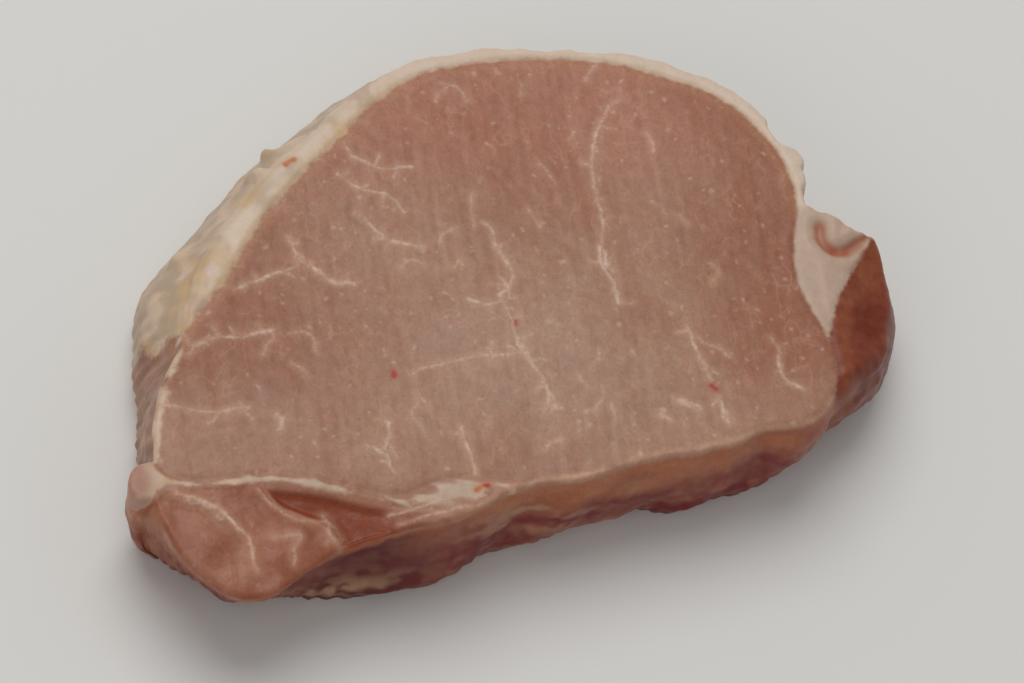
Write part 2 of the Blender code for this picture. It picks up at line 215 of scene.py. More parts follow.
# Relief in millimetres.  Lumps are height, size and seed of a noise; knobs on the wall of the fat are
# place, radius and height; folds of the flap are height and width.
FAT_RAGS = [(0.30, 3.4, 1), (0.16, 1.0, 2)]
LEAN_RAGS = [(0.20, 3.6, 4), (0.08, 1.1, 5)]
FACE_LUMPS = [(0.13, 4.2, 21), (0.07, 1.7, 22), (0.04, 0.85, 23)]
WALL_LUMPS = [(0.42, 6.5, 31), (0.20, 2.7, 32), (0.07, 1.1, 33)]
SEAM_RAGS = [(0.24, 1.8, 71), (0.12, 0.8, 72)]
KNOBS = [((-31.3, 36.7, 14.0), 1.4, 1.5), ((-46.8, 18.9, 14.0), 2.2, 1.6)]
FOLDS = [(0.30, 0.8), (0.24, 0.7), (0.12, 0.9)]
GROOVE = 0.16
TAG_HEIGHT = 1.9
TAG_WIDTH = 0.9
VEIN_HEIGHT = 0.10
HOLE_DEPTH = 0.25
CALM_FOOT = 3.5

# What the scene's light makes of a paint: the share that is seen and the sheen over it.  No paint is
# darker than the darkest.
SEEN = 0.74
SHEEN = 0.035
DARKEST = 0.004

# Colours as the eye sees them in the photograph's light, from 0 to 255
FACE = (156, 119, 102)
FACE_RED = (161, 116, 99)
FACE_DARK = (145, 101, 83)
FACE_PALE = (162, 131, 114)
FACE_EDGE = (186, 152, 130)
TAN = (168, 128, 104)
FLAP = (140, 92, 75)
FLAP_PALE = (158, 114, 96)
STRIP = (128, 72, 57)
# The side muscle: its own darker red with painted shade in it
SIDE_RED_AND_SHADE = (112, 62, 42)
# Paler side muscle: its fibres, and a painted highlight on its upper part
SIDE_PALE_AND_LIT = (135, 84, 66)
WALL_TOP = (160, 100, 72)
WALL_PALE = (170, 124, 98)
# Painted shade: the loin's walls grow darker towards their foot
WALL_LOW_SHADE = (114, 55, 36)
# Painted shade in the hollow of the wall under the strip
RECESS_SHADE = (100, 41, 26)
MEMBRANE = (178, 146, 118)
SILVER = (165, 130, 113)
SILVER_DARK = (138, 104, 87)
CREAM = (190, 169, 149)
CREAM_BRIGHT = (199, 182, 167)
CREAM_YELLOW = (186, 156, 114)
CREAM_GREY = (168, 147, 127)
CREAM_PINK = (174, 142, 124)
WEDGE = (178, 156, 140)
NUB = (162, 126, 111)
VEIN = (206, 184, 169)
BLOOD = (164, 58, 42)
HOLE = (178, 104, 40)
CURL_PINK = (158, 98, 78)
RIM_RED = (146, 78, 54)

# The moist surface: how light spreads under it and shines on it
SCATTER = 0.4
SCATTER_RADIUS = (1.0, 0.42, 0.28)
SCATTER_LENGTH = 1.2
ROUGH_RANGE = (0.34, 0.52)
SPECULAR = 0.32
COAT = 0.08
COAT_ROUGHNESS = 0.22
BUMP_STRENGTH = 0.6
BUMP_DEPTH = 0.12

# Lights: name, place and width in metres, power in watts, colour
LIGHTS = [("softbox", (-0.15, 0.55, 1.25), 1.1, 9.0, (1.0, 0.985, 0.96)),
          ("fill", (-0.7, -0.9, 0.8), 0.9, 2.0, (1.0, 0.99, 0.98))]
ROOM_COLOUR = (0.97, 0.965, 0.955, 1.0)
ROOM_STRENGTH = 0.35

# The floor, in metres
FLOOR_HALF = 4.0
FLOOR_SINK = 0.0001
FLOOR_COLOUR = (0.78, 0.78, 0.765, 1.0)
FLOOR_ROUGHNESS = 0.8

# Framing: the photograph's own viewpoint on the chop, through a longer lens
VIEW_AZIMUTH = -25.0
VIEW_ELEVATION = 57.0
VIEW_ROLL = 20.0
VIEW_DISTANCE = 697.0
LENS = 167.3
NEAREST = 0.05


def smooth_curve(points, step):
    """Points about one step apart on a smooth curve through the given ones."""
    knots = np.array(points, float)
    lengths = np.linalg.norm(np.diff(knots[:, :2], axis=0), axis=1)
    along = np.concatenate([[0.0], np.cumsum(lengths)])
    slopes = np.gradient(knots, along, axis=0)
    samples = []
    for start in range(len(knots) - 1):
        length = lengths[start]
        count = max(1, round(length / step))
        for index in range(count):
            t = index / count
            samples.append(
                (2 * t**3 - 3 * t**2 + 1) * knots[start]
                + (t**3 - 2 * t**2 + t) * length * slopes[start]
                + (3 * t**2 - 2 * t**3) * knots[start + 1]
                + (t**3 - t**2) * length * slopes[start + 1]
            )
    samples.append(knots[-1])
    return np.array(samples)


def smoothstep(value):
    """A step from 0 to 1 that starts and ends gently."""
    share = np.clip(value, 0.0, 1.0)
    return share * share * (3.0 - 2.0 * share)


def above(value, start, width):
    """A smooth step from 0 to 1 while the value rises from start over a width."""
    return smoothstep((value - start) / width)


def below(value, start, width):
    """A smooth step from 0 to 1 while the value falls from start over a width."""
    return smoothstep((start - value) / width)


def bump(value, middle, width):
    """A soft hump, one at its middle and nothing a few widths away."""
    return np.exp(-(((value - middle) / width) ** 2))


def spot(x, y, place, wide, high):
    """A soft oval hump round a place."""
    return bump(x, place[0], wide) * bump(y, place[1], high)


def blocks(points):
    """The points in blocks that are small enough to measure against a whole line at once."""
    return np.array_split(points, max(1, len(points) // BLOCK))


def inward(loop):
    """Unit directions into a counterclockwise loop, one for each of its points."""
    along = np.roll(loop, -1, axis=0) - np.roll(loop, 1, axis=0)
    way = np.stack([-along[:, 1], along[:, 0]], axis=1)
    return way / np.linalg.norm(way, axis=1)[:, None]


def distance_to_sides(points, starts, ends):
    """Distance from each point to the nearest of some straight sides."""
    side = ends - starts
    found = []
    for block in blocks(points):
        offset = block[:, None, :] - starts[None, :, :]
        share = np.clip((offset * side).sum(axis=2) / (side * side).sum(axis=1), 0.0, 1.0)
        found.append(np.linalg.norm(offset - share[:, :, None] * side, axis=2).min(axis=1))
    return np.concatenate(found)


def distance_to_curve(points, curve):
    return distance_to_sides(points, curve[:-1], curve[1:])


def distance_to_line(points, line, step=LINE_STEP):
    """Distance to the smooth curve through the places of a line."""
    return distance_to_curve(points, smooth_curve(line, step)[:, :2])


def distance_to_loop(points, loop):
    return distance_to_sides(points, loop, np.roll(loop, -1, axis=0))


def inside_loop(points, loop):
    """Which points lie inside the loop."""
    x0, y0 = loop[:, 0], loop[:, 1]
    x1, y1 = np.roll(x0, -1), np.roll(y0, -1)
    rise = np.where(y1 == y0, 1.0, y1 - y0)
    found = []
    for block in blocks(points):
        x, y = block[:, 0][:, None], block[:, 1][:, None]
        crossing = x0 + (y - y0) / rise * (x1 - x0)
        found.append((((y0 > y) != (y1 > y)) & (x < crossing)).sum(axis=1) % 2 == 1)
    return np.concatenate(found)


def depth_inside(points, seams, rim=()):
    """Millimetres past the seams of a region, negative outside.  The rim closes it but isn't measured."""
    loop = np.vstack([smooth_curve(stretch, LINE_STEP)[:-1, :2] for stretch in [*seams, *rim]])
    away = np.minimum.reduce([distance_to_line(points, seam) for seam in seams])
    return np.where(inside_loop(points, loop), away, -away)


def noise(points, size, seed, squeeze=(1.0, 1.0, 1.0)):
    """Smooth noise between -1 and 1, its lumps about one size apart, and longer where squeeze is small."""
    place = points * squeeze @ TURN / size
    cell = np.floor(place).astype(np.int64)
    share = place - cell
    share = share * share * (3.0 - 2.0 * share)
    total = np.zeros(len(points))
    for corner in range(8):
        step = np.array([corner & 1, corner >> 1 & 1, corner >> 2 & 1])
        key = (cell + step) @ np.array([73856093, 19349663, 83492791]) + seed * 2654435761
        key = (key ^ (key >> 13)) * 1274126177
        key = key ^ (key >> 16)
        weight = np.prod(np.where(step, share, 1.0 - share), axis=1)
        total += weight * ((key & 0xFFFF) / 32767.5 - 1.0)
    return total


def lumps(points, rows):
    """Noises of several heights and sizes, added up."""
    return sum(height * noise(points, size, seed) for height, size, seed in rows)


def rim_reach():
    """Points of the whole rim with their way out, and the walls' reach half way down and at the foot."""
    rows = np.vstack([smooth_curve(rim, WALL_STEP)[:-1] for rim in RIMS])
    out = -inward(rows[:, :2])
    out = sum(np.roll(out, turn, axis=0) for turn in range(-SPREAD, SPREAD + 1))
    out /= np.linalg.norm(out, axis=1)[:, None]
    return rows[:, :2], out, rows[:, 2], rows[:, 3]


RIM, RIM_OUT, RIM_SWELL, RIM_FOOT = rim_reach()
RIM_ALONG = np.concatenate([[0.0], np.cumsum(np.linalg.norm(np.diff(RIM, axis=0), axis=1))])


def spread_weights(points):
    """How much each point of the rim counts for each of these points."""
    square = ((points[:, None, :] - RIM[None, :, :]) ** 2).sum(axis=2)
    weight = 1.0 / (square + NEAR) ** 2
    return weight / (weight.sum(axis=1) + FADE)[:, None]


def at_depth(points, weights, depth):
    """Where points of the cut face lie at a share of the way down, as the walls swell and lean."""
    reach = 4.0 * RIM_SWELL * depth * (1.0 - depth) + RIM_FOOT * depth * (2.0 * depth - 1.0)
    reach = reach + LUMPS * depth * np.sin(2.0 * math.pi * RIM_ALONG / LUMP_LENGTH + 4.0 * depth)
    reach = reach - FOOT_ROUND * above(depth, 0.8, 0.2)
    return points + weights @ (RIM_OUT * reach[:, None])


def face_height(points):
    """Height of the cut face: nearly level, with slow waves, a drooping flap and a falling side muscle."""
    x, y = points[:, 0], points[:, 1]
    waves = UNEVEN * np.sin(x / 11.0 + 0.6) * np.cos(y / 9.0 - 0.4)
    waves += 0.6 * UNEVEN * np.sin((x + y) / 17.0 + 1.3)
    below_seam = np.clip((-21.5 - y) / FLAP_LENGTH, 0.0, 1.2) ** 1.3
    flap = FLAP_DROP * below_seam * below(x, -8.0, 22.0)
    side = SIDE_DROP * above(x, 49.5, SIDE_WIDTH) * below(y, 20.0, 9.0)
    return THICKNESS + waves - flap - side


def region_depths(flat):
    """How deep each place lies in each region of the cut face."""
    return {
        "cap": depth_inside(flat, [FAT_LINE], [CAP_END, FAT_RIM]),
        "wedge": depth_inside(flat, [WEDGE_LEFT, WEDGE_RIGHT], [WEDGE_RIM, CAP_END[::-1]]),
        "side": depth_inside(flat, [WEDGE_RIGHT[::-1], EYE_RIGHT], [SIDE_RIM]),
        "seam": depth_inside(flat, [SEAM_UPPER[::-1]], [NUB_RIM, SEAM_LOWER, SEAM_RIM]),
        "patch": depth_inside(flat, [SEAM_LOWER, SEAM_RIM, SEAM_UPPER[::-1], NUB_RIM]),
        "strip": depth_inside(flat, [SEAM_LOWER[4:][::-1], STRIP_LINE], [STRIP_RIM]),
        "flap": depth_inside(flat, [STRIP_LINE[::-1], SEAM_LOWER[:5][::-1]], [FLAP_RIM]),
    }


def fine_rim():
    """The rim at full fineness, first even and then ragged where it is fat."""
    loop = np.vstack([smooth_curve(rim, RIM_STEP)[:-1, :2] for rim in RIMS])
    flat = np.column_stack([loop, np.zeros(len(loop))])
    lengths = [len(smooth_curve(rim, RIM_STEP)) - 1 for rim in RIMS]
    fat = np.repeat([float(rim is FAT_RIM) for rim in RIMS], lengths)
    fat = sum(np.roll(fat, turn) for turn in range(-4, 5)) / 9.0
    right = above(loop[:, 0], 40.0, 6.0) * below(loop[:, 1], 42.0, 6.0)
    beads = 2.2 * np.abs(noise(flat, 2.4, 3)) - 0.5
    tag = TAG_HEIGHT * bump(np.linalg.norm(loop - np.array(TAG_AT), axis=1), 0.0, TAG_WIDTH)
    ragged = fat * (lumps(flat, FAT_RAGS) + right * beads + tag)
    ragged += (1.0 - fat) * lumps(flat, LEAN_RAGS)
    return loop, loop - inward(loop) * ragged[:, None]


def looked_up(points, rim):
    """Places where points look up their region: the same, but pulled a little inside the even rim."""
    way = inward(rim)
    found = []
    for block in blocks(points):
        nearest = ((block[:, None, :] - rim[None, :, :]) ** 2).sum(axis=2).argmin(axis=1)
        offset = block - rim[nearest]
        depth = (offset * way[nearest]).sum(axis=1)
        pull = np.clip(RIM_PULL - depth, 0.0, None) * (np.linalg.norm(offset, axis=1) < RIM_REACH)
        found.append(block + way[nearest] * pull[:, None])
    return np.vstack(found)


def grid_points(low, high, step):
    """An even grid of points in rows that are half a step apart."""
    row_step = step * math.sqrt(3.0) / 2.0
    rows = []
    for index in range(int((high[1] - low[1]) / row_step) + 1):
        xs = np.arange(low[0] + (index % 2) * step / 2.0, high[0], step)
        rows.append(np.column_stack([xs, np.full(len(xs), low[1] + index * row_step)]))
    return np.vstack(rows)


def triangles(loop, extra):
    """Triangles inside a loop, over its points and the extra ones inside it."""
    points = [Vector(point) for point in np.vstack([loop, extra]).tolist()]
    result = delaunay_2d_cdt(points, [], [list(range(len(loop)))], 1, SAME_POINT, True)
    faces, origins, within = result[2], result[3], result[5]
    if len(result[0]) != len(points):
        raise ValueError("the rim crosses itself")
    kept = [face for face, inside in zip(faces, within) if inside]
    return np.array([[origins[corner][0] for corner in face] for face in kept])


def wander(curve, seed):
    """A curve with a small irregular wobble."""
    at = np.column_stack([curve, np.full(len(curve), 7.0 * seed)])
    wobble = [noise(at, 1.8, seed) + 0.5 * noise(at, 0.7, seed + 1), noise(at, 1.8, seed + 2)]
    return curve + VEIN_WOBBLE * np.column_stack(wobble)


def vein_curves():
    """All white threads of the cut face with their half widths: veins, their twigs, and fine threads."""
    rng = np.random.default_rng(THREAD_SEED)
    curves = []
    for seed, (half_width, points) in enumerate(VEINS):
        curve = wander(smooth_curve(points, VEIN_STEP), 40 + seed)
        curves.append((half_width, curve))
        if seed >= len(VEINS) - len(FOLDS):
            continue
        for start in curve[::max(2, round(TWIG_GAP / VEIN_STEP))]:
            heading = rng.uniform(0.0, 2.0 * math.pi)
            curves.append((rng.uniform(0.02, 0.07), thread(start, heading, rng.uniform(0.8, 2.6), rng)))
    eye = grid_points((-48.0, -20.0), (44.0, 46.0), 1.0)
    eye = eye[depth_inside(eye, EYE) > 3.0]
    for start in eye[rng.choice(len(eye), THREADS, replace=False)]:
        heading = math.pi / 2.0 + rng.normal(0.0, 0.7)
        curves.append((rng.uniform(0.0, 0.05), thread(start, heading, rng.uniform(1.5, 6.0), rng)))
    for half_width, start, end in STREAKS:
        curves.append((half_width, wander(smooth_curve([start, end], VEIN_STEP), 90)))
    return curves


def thread(start, heading, length, rng):
    """A short thread that leaves a place in some direction and bends a little."""
    steps = max(2, round(length / VEIN_STEP))
    turns = heading + np.cumsum(rng.normal(0.0, 0.25, steps))
    way = VEIN_STEP * np.column_stack([np.cos(turns), np.sin(turns)])
    return np.vstack([start, start + np.cumsum(way, axis=0)])


def face_layout(loop, curves):
    """Points inside the cut face: rows along its rounded edge and the veins, and an even grid."""
    rows = [loop + inward(loop) * inset for inset in EDGE_ROWS]
    rows = [row[distance_to_loop(row, loop) > 0.9 * inset] for row, inset in zip(rows, EDGE_ROWS)]
    grid = grid_points(loop.min(axis=0), loop.max(axis=0), FACE_STEP)
    grid = grid[inside_loop(grid, loop)]
    grid = grid[distance_to_loop(grid, loop) > EDGE_ROWS[-1] + 0.5 * FACE_STEP]
    main = [curve for half_width, curve in curves if half_width > 0.11]
    beside = []
    for curve in main:
        along = np.gradient(curve, axis=0)
        across = np.column_stack([-along[:, 1], along[:, 0]]) / np.linalg.norm(along, axis=1)[:, None]
        beside += [curve, curve + VEIN_SIDE * across, curve - VEIN_SIDE * across]
    on_veins = np.vstack(beside)
    on_veins = on_veins[np.unique(np.round(on_veins / 0.2), axis=0, return_index=True)[1]]
    on_veins = on_veins[inside_loop(on_veins, loop)]
    on_veins = on_veins[distance_to_loop(on_veins, loop) > EDGE_ROWS[-1] + 0.1]
    near = np.full(len(grid), 1e9)
    for curve in main:
        near = np.minimum(near, distance_to_curve(grid, curve))
    return np.vstack([*rows, on_veins, grid[near > VEIN_SIDE + 0.45 * FACE_STEP]])


def vertex_normals(points, faces):
    corners = points[faces]
    across = np.cross(corners[:, 1] - corners[:, 0], corners[:, 2] - corners[:, 0])
    total = np.zeros_like(points)
    for corner in range(3):
        np.add.at(total, faces[:, corner], across)
    return total / np.linalg.norm(total, axis=1)[:, None]


def paint(colour):
    """The surface colour that looks like this one in the scene's light."""
    linear = ((np.array(colour) / 255.0 + 0.055) / 1.055) ** 2.4
    return np.clip((linear - SHEEN) / SEEN, DARKEST, 1.0)


def blend(colours, other, share):
    """Colours moved towards another one by a share for each point."""
    share = np.clip(share, 0.0, 1.0)[:, None]
    return colours * (1.0 - share) + paint(other) * share


def lean_colours(points, flat, down, edge, depths):
    """Broad colours of the muscles on the cut face and down the walls, with painted shade low on the
    walls, in a hollow and on the side muscle, and painted light in a crease and on the side muscle's upper
    part.
    """
    x, y = flat[:, 0], flat[:, 1]
    cloud = noise(points, 13.0, 51) + 0.6 * noise(points, 5.0, 52)
    colours = np.tile(paint(FACE), (len(flat), 1))
    colours = blend(colours, FACE_PALE, 0.75 * spot(x, y, PALE_AT, 24.0, 19.0) + 0.25 * cloud)
    colours = blend(colours, FACE_RED, above(y, 16.0, 26.0))
    colours = blend(colours, FACE_DARK, 0.9 * above(x, 26.0, 18.0) * above(y, -12.0, 10.0))
    colours = blend(colours, FACE_DARK, 0.85 * below(x, -18.0, 22.0) * above(y, -14.0, 14.0))
    colours = blend(colours, FACE_DARK, -0.40 * cloud)
    colours = blend(colours, TAN, 0.45 * above(depths["cap"], -2.4, 2.0))
    pale = 0.6 + 0.5 * noise(points, 2.6, 58) - 0.35 * below(x, -40.0, 8.0)
    colours = blend(colours, FACE_EDGE, pale * bump(edge, 0.45, 0.40))

    inside_flap = above(depths["flap"], -0.3, 0.5)
    folds = noise(points, 3.2, 53, (1.0, 1.0, 0.5))
    colours = blend(colours, FLAP, inside_flap)
    line = distance_to_line(flat, VEINS[-len(FOLDS)][1], FOLD_STEP)
    haze = 0.5 * bump(line, 0.0, 2.2) + 0.5 * spot(x, y, HAZE_AT, 3.0, 2.4)
    colours = blend(colours, FLAP_PALE, inside_flap * (0.30 + 0.6 * folds + haze))
    inside_strip = above(depths["strip"], -0.3, 0.6)
    streaks = noise(points @ ALONG_TEAR, 1.4, 67)
    dark = np.clip(below(x, -12.5, 7.0) + 0.7 * streaks * above(x, -24.0, 6.0), 0.0, 1.0)
    colours = blend(colours, FLAP_PALE, inside_strip * (0.6 + 0.5 * folds))
    colours = blend(colours, STRIP, inside_strip * (0.15 + 0.8 * dark) * above(depths["strip"], 0.1, 0.9))
    # Painted shade: the side muscle is painted dark, partly its own darker red and partly the shade it
    # lies in
    inside_side = above(depths["side"], -0.15, 0.3)
    colours = blend(colours, SIDE_RED_AND_SHADE, inside_side)
    fibres = noise(points, 1.1, 56, (1.0, 1.0, 0.35)) + 0.6 * noise(points, 2.4, 57)
    # Painted highlight: the side muscle's upper part is painted paler, over the real tone of its fibres
    # and folds
    light = 0.25 + 0.40 * above(y, 4.0, 9.0) + 0.15 * folds + 0.4 * fibres
    light += 0.5 * bump(depths["side"], 1.8, 1.4)
    colours = blend(colours, SIDE_PALE_AND_LIT, inside_side * np.clip(light, 0.0, 1.0))

    walls = above(down, 0.4, 1.2)
    band = noise(points, 4.0, 54, (0.6, 0.6, 1.3))
    blot = noise(points, 2.2, 59, (1.0, 1.0, 0.7)) + 0.5 * noise(points, 1.0, 60)
    loin_wall = walls * (1.0 - inside_side)
    colours = blend(colours, WALL_TOP, loin_wall * (0.9 - 0.3 * inside_flap))
    # Painted shade: the wall is painted darker towards its foot, mottled by noise
    low = above(down, 2.5, 8.0) + 0.40 * band + 0.25 * blot
    colours = blend(colours, WALL_LOW_SHADE, loin_wall * np.clip(low, 0.0, 1.0))
    colours = blend(colours, WALL_PALE, loin_wall * np.clip(0.45 * blot - 0.35 * band, 0.0, 0.6))
    red = inside_flap * bump(down, 2.2, 1.7) * above(x, -46.0, 5.0)
    colours = blend(colours, RIM_RED, 0.55 * red)
    # Painted light: the crease between the nub's and the flap's walls is lightened against its shade
    corner = spot(x, y, LIGHTENED_CREASE_AT, 3.0, 5.0) * above(down, 3.0, 3.0)
    colours = blend(colours, WALL_PALE, 0.5 * corner)
    # Painted shade: the hollow of the wall under the strip is painted dark
    shaded_hollow = bump(x, RECESS_X, 9.0) * below(y, RECESS_Y, 3.0) * above(down, 1.0, 2.0)
    colours = blend(colours, RECESS_SHADE, 1.15 * shaded_hollow)
    skin = 0.8 * bump(x, 1.0, 10.0) * bump(down, 9.0 + 0.25 * x, 4.5) * below(y, -15.0, 4.0)
    skin += 0.8 * bump(x, LOW_SKIN_X, 8.0) * bump(down, 14.5, 2.6) * below(y, RECESS_Y, 3.0)
    skin += 0.12 * below(y, -14.0, 4.0) * above(down, 3.0, 4.0)
    sheet = noise(points, 2.6, 65, (0.55, 0.55, 1.6)) + 0.6 * noise(points, 1.2, 66)
    colours = blend(colours, MEMBRANE, 0.75 * loin_wall * skin * above(sheet, -0.35, 0.9))
    border = y + 19.8 + 1.7 * noise(points, 3.4, 78, (1.0, 1.0, 0.8))
    silver = walls * below(x, -46.0, 3.0) * smoothstep(border / 2.6)
    colours = blend(colours, SILVER_DARK, silver)
    upright = noise(points, 1.7, 55, (1.0, 1.0, 0.22))
    return blend(colours, SILVER, silver * (0.45 + 0.8 * upright))


def fat_colours(points, flat, down, depths):
    """Broad colours of the fat: bright beside the muscle, with yellow and grey patches further out."""
    x, y = flat[:, 0], flat[:, 1]
    mottle = noise(points, 4.0, 61) + 0.7 * noise(points, 1.8, 62)
    other = noise(points, 4.5, 63, (1.0, 1.0, 0.6)) + 0.7 * noise(points, 1.9, 64)
    colours = np.tile(paint(CREAM), (len(flat), 1))
    outer = np.clip(above(depths["cap"], 2.2, 2.2) + above(down, 0.5, 2.5), 0.0, 1.0)
    colours = blend(colours, CREAM_BRIGHT, 0.8 * (1.0 - outer) * smoothstep(depths["cap"] / 0.8))
    colours = blend(colours, CREAM_GREY, 0.9 * outer * above(mottle, -0.5, 0.9))
    colours = blend(colours, CREAM_YELLOW, 0.65 * outer * above(other, 0.15, 0.6))
    thick = below(x, -6.0, 10.0) * (1.0 - outer)
    colours = blend(colours, CREAM_YELLOW, 0.45 * thick * above(other, 0.15, 0.5))
    colours = blend(colours, CREAM_YELLOW, 0.4 * thick * bump(depths["cap"], 0.4, 0.7))
    colours = blend(colours, CREAM_GREY, 0.6 * thick * above(mottle, 0.1, 0.6))
    colours = blend(colours, WEDGE, above(x, 44.0, 2.0) * below(y, 23.0, 2.0))
    colours = blend(colours, WEDGE, 0.8 * above(x, -44.0, 2.0) * below(y, -20.0, 2.0))
    colours = blend(colours, CREAM_PINK, 0.7 * above(down, 7.0, 8.0) * below(mottle, 0.3, 0.6))
    colours = blend(colours, NUB, 1.3 * spot(x, y, NUB_AT, 2.4, 3.5))
    curl = below(distance_to_line(flat, CURL, FOLD_STEP), 1.35, 0.9) * smoothstep(depths["wedge"] / 0.6)
    return blend(colours, CURL_PINK, curl * (0.85 + 0.35 * noise(points, 1.3, 68)))


def fat_depth(points, flat, down, depths):
    """How deep each point lies in fat, negative in the lean.

    The seam is broken beside the flap, torn at its white patch and fades down the wall.  A thin streak
    of fat runs along the left rim.
    """
    x = flat[:, 0]
    seam = depths["patch"] - 0.65 * (1.0 - bump(x, -11.8, 3.2)) * above(x, -56.5, 2.0)
    broken = 0.20 + 0.40 * noise(points, 1.7, 76)
    seam += broken * above(x, -46.0, 3.0) * below(x, -24.0, 4.0)
    seam -= (0.30 - broken) * below(x, -44.0, 4.0) * above(x, -56.5, 2.0)
    seam -= 1.3 * above(x, -9.5, 2.5)
    seam -= 1.5 * smoothstep(down - 0.6) * above(x, -52.0, 2.0)
    seam += (0.4 + 0.9 * noise(points, 1.8, 77)) * below(x, -55.0, 1.0)
    seam -= (0.50 + 0.30 * noise(points, 2.2, 75)) * np.clip(down - 0.8, 0.0, 8.0)
    torn = bump(x, TORN_X, 5.0)
    patch = (1.1 + 0.7 * torn) * noise(points @ ALONG_TEAR, 1.9, 73) - 0.15 - 0.45 * torn
    patch *= above(depths["patch"], -1.0, 0.5) * above(x, -30.0, 6.0)
    seam = (1.0 - 0.5 * bump(x, PATCH_X, 5.0)) * (seam + patch)
    streak = 0.8 + 0.7 * noise(points, 1.6, 74) - 1.2 * above(down, 1.2, 1.5)
    streak -= distance_to_line(flat, LEFT_RIM)
    return np.maximum.reduce([depths["cap"], depths["wedge"], seam, streak]) + lumps(points, SEAM_RAGS)


def grain_share(down, depths):
    """How clearly each place shows the pale web and flecks between the fibres."""
    other = np.maximum(depths["side"], depths["strip"])
    share = (1.0 - 0.9 * above(other, -0.3, 0.6)) * (1.0 - 0.5 * smoothstep(depths["flap"] + 0.5))
    return share * (1.0 - 0.9 * smoothstep(down / 1.5))


def relief(points, flat, down, wall, depths):
    """How far the surface stands out, in millimetres: lumps, grain, grooves and folds."""
    x, y = flat[:, 0], flat[:, 1]
    grooved = ("cap", "wedge", "side", "seam", "strip")
    edges = np.minimum.reduce([np.abs(depths[name]) for name in grooved])
    face = lumps(points, FACE_LUMPS) + 0.05 * noise(points, 1.0, 24, (1.0, 0.07, 1.0))
    face -= GROOVE * bump(edges, 0.0, 0.5)
    face += 0.10 * smoothstep(depths["seam"] / 0.6) + 0.12 * smoothstep(depths["cap"] / 0.8)
    face -= 1.1 * smoothstep(depths["strip"] / 1.6) * below(x, -18.0, 7.0)
    for (height, width), vein in zip(FOLDS, VEINS[-len(FOLDS):]):
        away = distance_to_line(flat, vein[1], FOLD_STEP)
        face += height * bump(away, 0.0, width) - 0.6 * height * bump(away, 2.4 * width, 1.4 * width)
    face += 0.22 * smoothstep(depths["flap"] / 1.5) * noise(points, 4.5, 25)
    curl = distance_to_line(flat, CURL, FOLD_STEP)
    wedge = smoothstep(depths["wedge"] / 0.8)
    face += wedge * (0.30 * bump(curl, 2.2, 1.0) - 0.75 * bump(curl, 0.0, 0.95))
    side = lumps(points, WALL_LUMPS)
    side += 0.30 * noise(points, 3.6, 34, (0.5, 0.5, 1.6))
    side += 0.12 * noise(points, 1.2, 35, (1.0, 1.0, 0.3))
    side *= 1.0 - 0.85 * below(x, -27.0, 7.0) * below(y, -24.0, 4.0) * smoothstep(down / 10.0)
    side -= 1.3 * bump(x, -24.0, 6.5) * below(y, RECESS_Y, 3.0) * bump(down, 7.5, 4.5)
    for place, radius, height in KNOBS:
        side += height * bump(np.linalg.norm(points - np.array(place), axis=1), 0.0, radius)
    return face * (1.0 - wall) + side * wall


def edge_round(flat, depths):
    """Radius of the cut face's rounded edge."""
    x, y = flat[:, 0], flat[:, 1]
    radius = np.full(len(flat), EDGE_ROUND)
    radius += 0.9 * above(depths["cap"], -1.0, 2.0) * below(x, -14.0, 10.0)
    radius += 1.0 * above(x, 24.0, 18.0) * below(y, -4.0, 6.0)
    return radius + 1.5 * above(depths["side"], -1.5, 2.0)


def chop_layers():
    """The bare shape: cut face, walls and underside, and what each point needs for its looks.

    The first result holds, for every point, its place, the row of the flat place where it looks up its
    region, its depth under the face, its distance in from the edge and its share of wall.  The others
    are the flat places, the triangles and the threads.
    """
    threads = vein_curves()
    even, loop = fine_rim()
    inner = face_layout(loop, threads)
    top = np.vstack([loop, inner])
    count = len(loop)
    inset = distance_to_loop(top, loop)
    inset[:count] = 0.0
    homes = looked_up(top, even)
    radius = edge_round(homes, region_depths(homes))
    short = np.clip(radius - inset, 0.0, radius)
    height = face_height(top) - radius + np.sqrt(radius**2 - short**2)
    weights = spread_weights(even)
    layers = [(np.column_stack([top, height]), np.arange(len(top)), face_height(top) - height, inset,
               0.6 * smoothstep(short / radius))]
    faces = [triangles(loop, inner)]
    around = np.arange(count)
    following = (around + 1) % count
    upper, lower = 0, len(top)
    for ring in range(1, WALL_RINGS + 1):
        depth = ring / WALL_RINGS
        level = height[:count] * (1.0 - depth)
        down = face_height(loop) - level
        outline = even + (loop - even) * (1.0 - smoothstep(depth / RAGGED_DEPTH))
        points = np.column_stack([at_depth(outline, weights, depth), level])
        sway = SWAY * noise(points, 5.0, 81, (0.5, 0.5, 1.0)) * smoothstep(down / 5.0)
        home = len(top) + (around + np.round(sway / RIM_STEP).astype(int)) % count
        layers.append((points, home, down, -down, np.full(count, min(1.0, 0.6 + 0.2 * ring))))
        faces.append(np.column_stack([upper + around, lower + around, lower + following]))
        faces.append(np.column_stack([upper + around, lower + following, upper + following]))
        upper, lower = lower, lower + count
    under = grid_points(loop.min(axis=0), loop.max(axis=0), UNDER_STEP)
    under = under[inside_loop(under, even)]
    under = under[distance_to_loop(under, even) > 0.7 * UNDER_STEP]
    beneath = triangles(even, under)[:, ::-1]
    faces.append(np.where(beneath < count, upper + beneath, lower + beneath - count))
    nothing = np.zeros(len(under))
    points = np.column_stack([at_depth(under, spread_weights(under), 1.0), nothing])
    home = len(top) + count + np.arange(len(under))
    layers.append((points, home, nothing, nothing + UNDER_EDGE, nothing))
    homes = np.vstack([homes, homes[:count], looked_up(under, even)])
    return [np.concatenate(part) for part in zip(*layers)], homes, np.vstack(faces), threads


